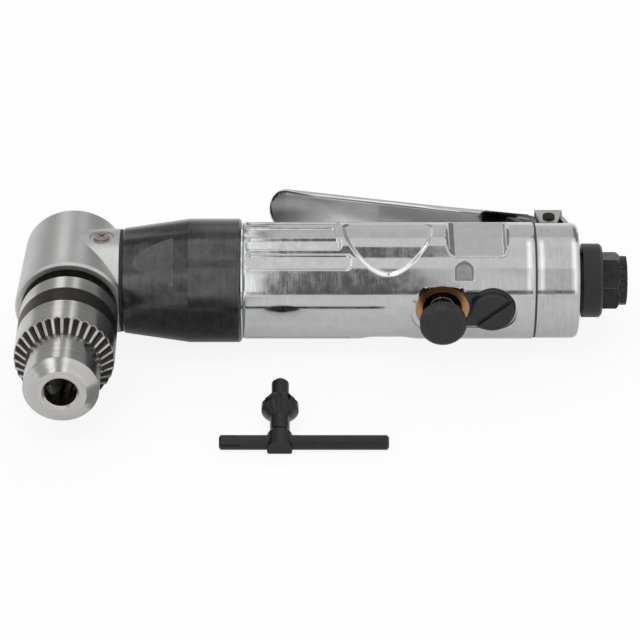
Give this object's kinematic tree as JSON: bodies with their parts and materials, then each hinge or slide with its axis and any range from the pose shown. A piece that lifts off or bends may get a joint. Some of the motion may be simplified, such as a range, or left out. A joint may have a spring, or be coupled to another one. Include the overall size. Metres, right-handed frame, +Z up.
{
  "type": "air drill",
  "caption": "Right-angle reversible air drill with a keyed chuck, throttle lever, reverse knob and a loose T-handle chuck key.",
  "frame": {"origin": "on the chuck axis, where the straight wall of the jaw bore begins", "axes": "+X along the body from the head to the air inlet, -Y out of the chuck, +Z up, with the drill lying on its side as pictured"},
  "size_m": [0.2032, 0.1192, 0.0437],
  "materials": {
    "cast_aluminium": "polished casting",
    "satin_casting": "brushed casting",
    "black_steel": "blackened turned steel",
    "chuck_steel": "turned steel",
    "dark_steel": "hardened steel",
    "sheet_steel": "plated sheet",
    "zinc": "zinc plated",
    "black_plastic": "black ring",
    "bronze": "bronze",
    "brown_fibre": "fibre",
    "gear_steel": "ground steel",
    "black_gloss": "gloss black oxide"
  },
  "bodies": {
    "drill": {"angle_head": "satin_casting", "head_screw": "chuck_steel", "lock_screw": "dark_steel", "circlip": "dark_steel", "spindle_bush": "bronze", "spindle_bearing": "gear_steel", "neck_seal": "brown_fibre", "pinion_bearing": "gear_steel", "collar": "black_steel", "ring_gear": "gear_steel", "housing": "cast_aluminium", "front_end_plate": "gear_steel", "cylinder_liner": "gear_steel", "rear_end_plate": "gear_steel", "front_rotor_bearing": "gear_steel", "rear_rotor_bearing": "gear_steel", "cap_gasket": "brown_fibre", "rear_cap": "cast_aluminium", "exhaust_ring": "black_plastic", "inlet_bushing": "black_steel", "inlet_ring": "black_steel", "inlet_screen": "bronze", "hinge_bracket": "zinc", "hinge_pin": "dark_steel", "reverse_bush": "bronze", "link_plate": "black_steel", "throttle_guide": "dark_steel", "throttle_spring": "gear_steel"},
    "spindle_and_chuck": {"spindle": "dark_steel", "spindle_inner_ring": "gear_steel", "bevel_gear": "gear_steel", "chuck_body": "chuck_steel", "chuck_screw": "dark_steel"},
    "sleeve": {"chuck_sleeve": "chuck_steel", "chuck_nut": "gear_steel"},
    "jaw_a": {"jaw_1": "dark_steel"},
    "jaw_b": {"jaw_2": "dark_steel"},
    "jaw_c": {"jaw_3": "dark_steel"},
    "carrier": {"planet_carrier": "gear_steel", "bevel_pinion": "gear_steel", "planet_pins": "gear_steel"},
    "planet_a": {"planet_gear_1": "gear_steel"},
    "planet_b": {"planet_gear_2": "gear_steel"},
    "planet_c": {"planet_gear_3": "gear_steel"},
    "rotor_group": {"rotor": "gear_steel", "sun_gear": "gear_steel", "vanes": "brown_fibre"},
    "throttle_lever": {"lever": "sheet_steel"},
    "throttle_valve": {"throttle_stem": "chuck_steel"},
    "reverse_group": {"reverse_knob": "black_steel", "reverse_valve": "dark_steel"},
    "air_regulator": {"regulator": "black_steel"},
    "chuck_key": {"key_body": "black_gloss", "key_bar": "black_gloss"}
  },
  "joints": [
    {"name": "spindle_spin", "type": "hinge", "parent": "drill", "child": "spindle_and_chuck", "pos_m": [0, 0.0663, 0], "axis": [0, -1, 0], "continuous": true},
    {"name": "carrier_spin", "type": "hinge", "parent": "drill", "child": "carrier", "pos_m": [0.02, 0.0663, 0], "axis": [1, 0, 0], "continuous": true},
    {"name": "rotor_spin", "type": "hinge", "parent": "drill", "child": "rotor_group", "pos_m": [0.07, 0.0663, 0], "axis": [1, 0, 0], "continuous": true},
    {"name": "planet_a_spin", "type": "hinge", "parent": "carrier", "child": "planet_a", "pos_m": [0.0269, 0.0759, 0], "axis": [1, 0, 0], "continuous": true},
    {"name": "planet_b_spin", "type": "hinge", "parent": "carrier", "child": "planet_b", "pos_m": [0.0269, 0.0615, 0.00831], "axis": [1, 0, 0], "continuous": true},
    {"name": "planet_c_spin", "type": "hinge", "parent": "carrier", "child": "planet_c", "pos_m": [0.0269, 0.0615, -0.00831], "axis": [1, 0, 0], "continuous": true},
    {"name": "sleeve_turn", "type": "hinge", "parent": "spindle_and_chuck", "child": "sleeve", "pos_m": [0, 0.0663, 0], "axis": [0, -1, 0], "range_deg": [0, 4680]},
    {"name": "jaw_a_slide", "type": "slide", "parent": "spindle_and_chuck", "child": "jaw_a", "axis": [0.0449, -0.9659, -0.2549], "range_m": [0, 0.0208]},
    {"name": "jaw_b_slide", "type": "slide", "parent": "spindle_and_chuck", "child": "jaw_b", "axis": [0.1983, -0.9659, 0.1664], "range_m": [0, 0.0208]},
    {"name": "jaw_c_slide", "type": "slide", "parent": "spindle_and_chuck", "child": "jaw_c", "axis": [-0.2432, -0.9659, 0.0885], "range_m": [0, 0.0208]},
    {"name": "lever_press", "type": "hinge", "parent": "drill", "child": "throttle_lever", "pos_m": [0.1606, 0.0938, 0], "axis": [0, 0, 1], "range_deg": [0, 8], "stiffness_Nm_per_rad": 0.29, "springref_deg": -9.05},
    {"name": "stem_press", "type": "slide", "parent": "drill", "child": "throttle_valve", "axis": [0, -1, 0], "range_m": [0, 0.00266], "deforming": ["throttle_spring"]},
    {"name": "reverse_turn", "type": "hinge", "parent": "drill", "child": "reverse_group", "pos_m": [0.1232, 0.0663, 0], "axis": [0, -1, 0], "range_deg": [0, 90]},
    {"name": "regulator_turn", "type": "hinge", "parent": "drill", "child": "air_regulator", "pos_m": [0.1397, 0.0663, 0], "axis": [0, -1, 0], "range_deg": [-90, 90]},
    {"name": "key_lift", "type": "slide", "parent": "drill", "child": "chuck_key", "axis": [0, 0, 1], "range_m": [0, 0.1]}
  ],
  "couplings": [
    {"joint": "carrier_spin", "follows": "spindle_spin", "ratio": 1.5},
    {"joint": "rotor_spin", "follows": "spindle_spin", "ratio": 6},
    {"joint": "planet_a_spin", "follows": "spindle_spin", "ratio": -4.5},
    {"joint": "planet_b_spin", "follows": "spindle_spin", "ratio": -4.5},
    {"joint": "planet_c_spin", "follows": "spindle_spin", "ratio": -4.5},
    {"joint": "jaw_a_slide", "follows": "sleeve_turn", "m_per_rad": 0.0002546},
    {"joint": "jaw_b_slide", "follows": "sleeve_turn", "m_per_rad": 0.0002546},
    {"joint": "jaw_c_slide", "follows": "sleeve_turn", "m_per_rad": 0.0002546},
    {"joint": "stem_press", "follows": "lever_press", "m_per_rad": 0.019}
  ]
}
